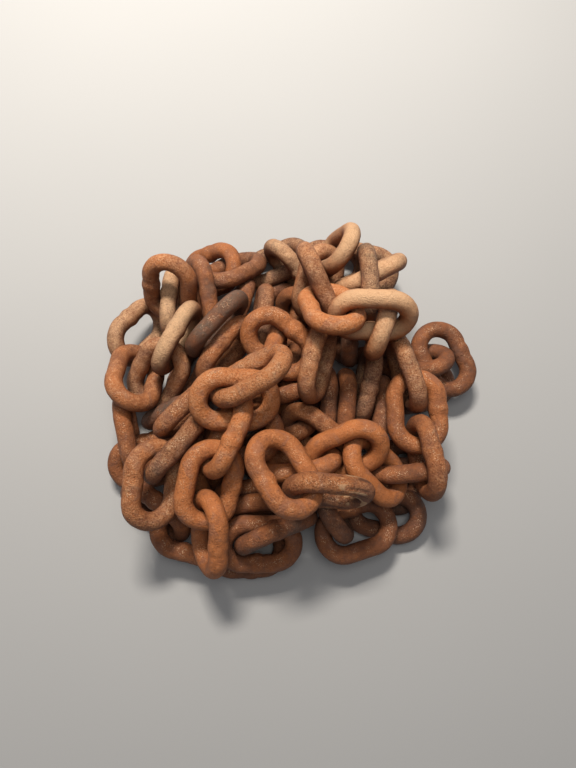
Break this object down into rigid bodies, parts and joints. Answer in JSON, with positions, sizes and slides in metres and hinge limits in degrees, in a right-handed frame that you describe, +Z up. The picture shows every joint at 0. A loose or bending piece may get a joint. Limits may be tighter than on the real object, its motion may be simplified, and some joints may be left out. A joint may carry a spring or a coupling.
{
  "type": "heap of iron chain",
  "caption": "Low loose heap of rusty short-link iron chain: round-wire welded links, piled, crossing and threaded through one another.",
  "frame": {"origin": "centre of the heap's outer box, on the level floor that its lowest links lie on", "axes": "+Z up; +X to the right and +Y away as the heap is seen in the picture; the heap is longest along X and lowest along Z"},
  "size_m": [0.2872, 0.2786, 0.1172],
  "materials": {
    "rusty_iron": "dry orange-brown rust over dark iron, matt and pitted"
  },
  "bodies": {
    "root": {"link_01": "rusty_iron", "link_02": "rusty_iron", "link_03": "rusty_iron", "link_04": "rusty_iron", "link_05": "rusty_iron", "link_06": "rusty_iron", "link_07": "rusty_iron", "link_08": "rusty_iron", "link_09": "rusty_iron", "link_10": "rusty_iron", "link_11": "rusty_iron", "link_12": "rusty_iron", "link_13": "rusty_iron", "link_14": "rusty_iron", "link_15": "rusty_iron", "link_16": "rusty_iron", "link_17": "rusty_iron", "link_18": "rusty_iron", "link_19": "rusty_iron", "link_20": "rusty_iron", "link_21": "rusty_iron", "link_22": "rusty_iron", "link_23": "rusty_iron", "link_24": "rusty_iron", "link_25": "rusty_iron", "link_26": "rusty_iron", "link_27": "rusty_iron", "link_28": "rusty_iron", "link_29": "rusty_iron", "link_30": "rusty_iron", "link_31": "rusty_iron", "link_32": "rusty_iron", "link_33": "rusty_iron", "link_34": "rusty_iron", "link_35": "rusty_iron", "link_36": "rusty_iron", "link_37": "rusty_iron", "link_38": "rusty_iron", "link_39": "rusty_iron", "link_40": "rusty_iron", "link_41": "rusty_iron", "link_42": "rusty_iron", "link_43": "rusty_iron", "link_44": "rusty_iron", "link_45": "rusty_iron", "link_46": "rusty_iron", "link_47": "rusty_iron", "link_48": "rusty_iron", "link_49": "rusty_iron", "link_50": "rusty_iron", "link_51": "rusty_iron", "link_52": "rusty_iron", "lower_links_back": "rusty_iron", "lower_links_back_right": "rusty_iron", "lower_links_front_right": "rusty_iron", "lower_links_left": "rusty_iron", "lower_links_middle": "rusty_iron", "lower_links_right": "rusty_iron", "lower_links_under_front": "rusty_iron"}
  },
  "joints": []
}
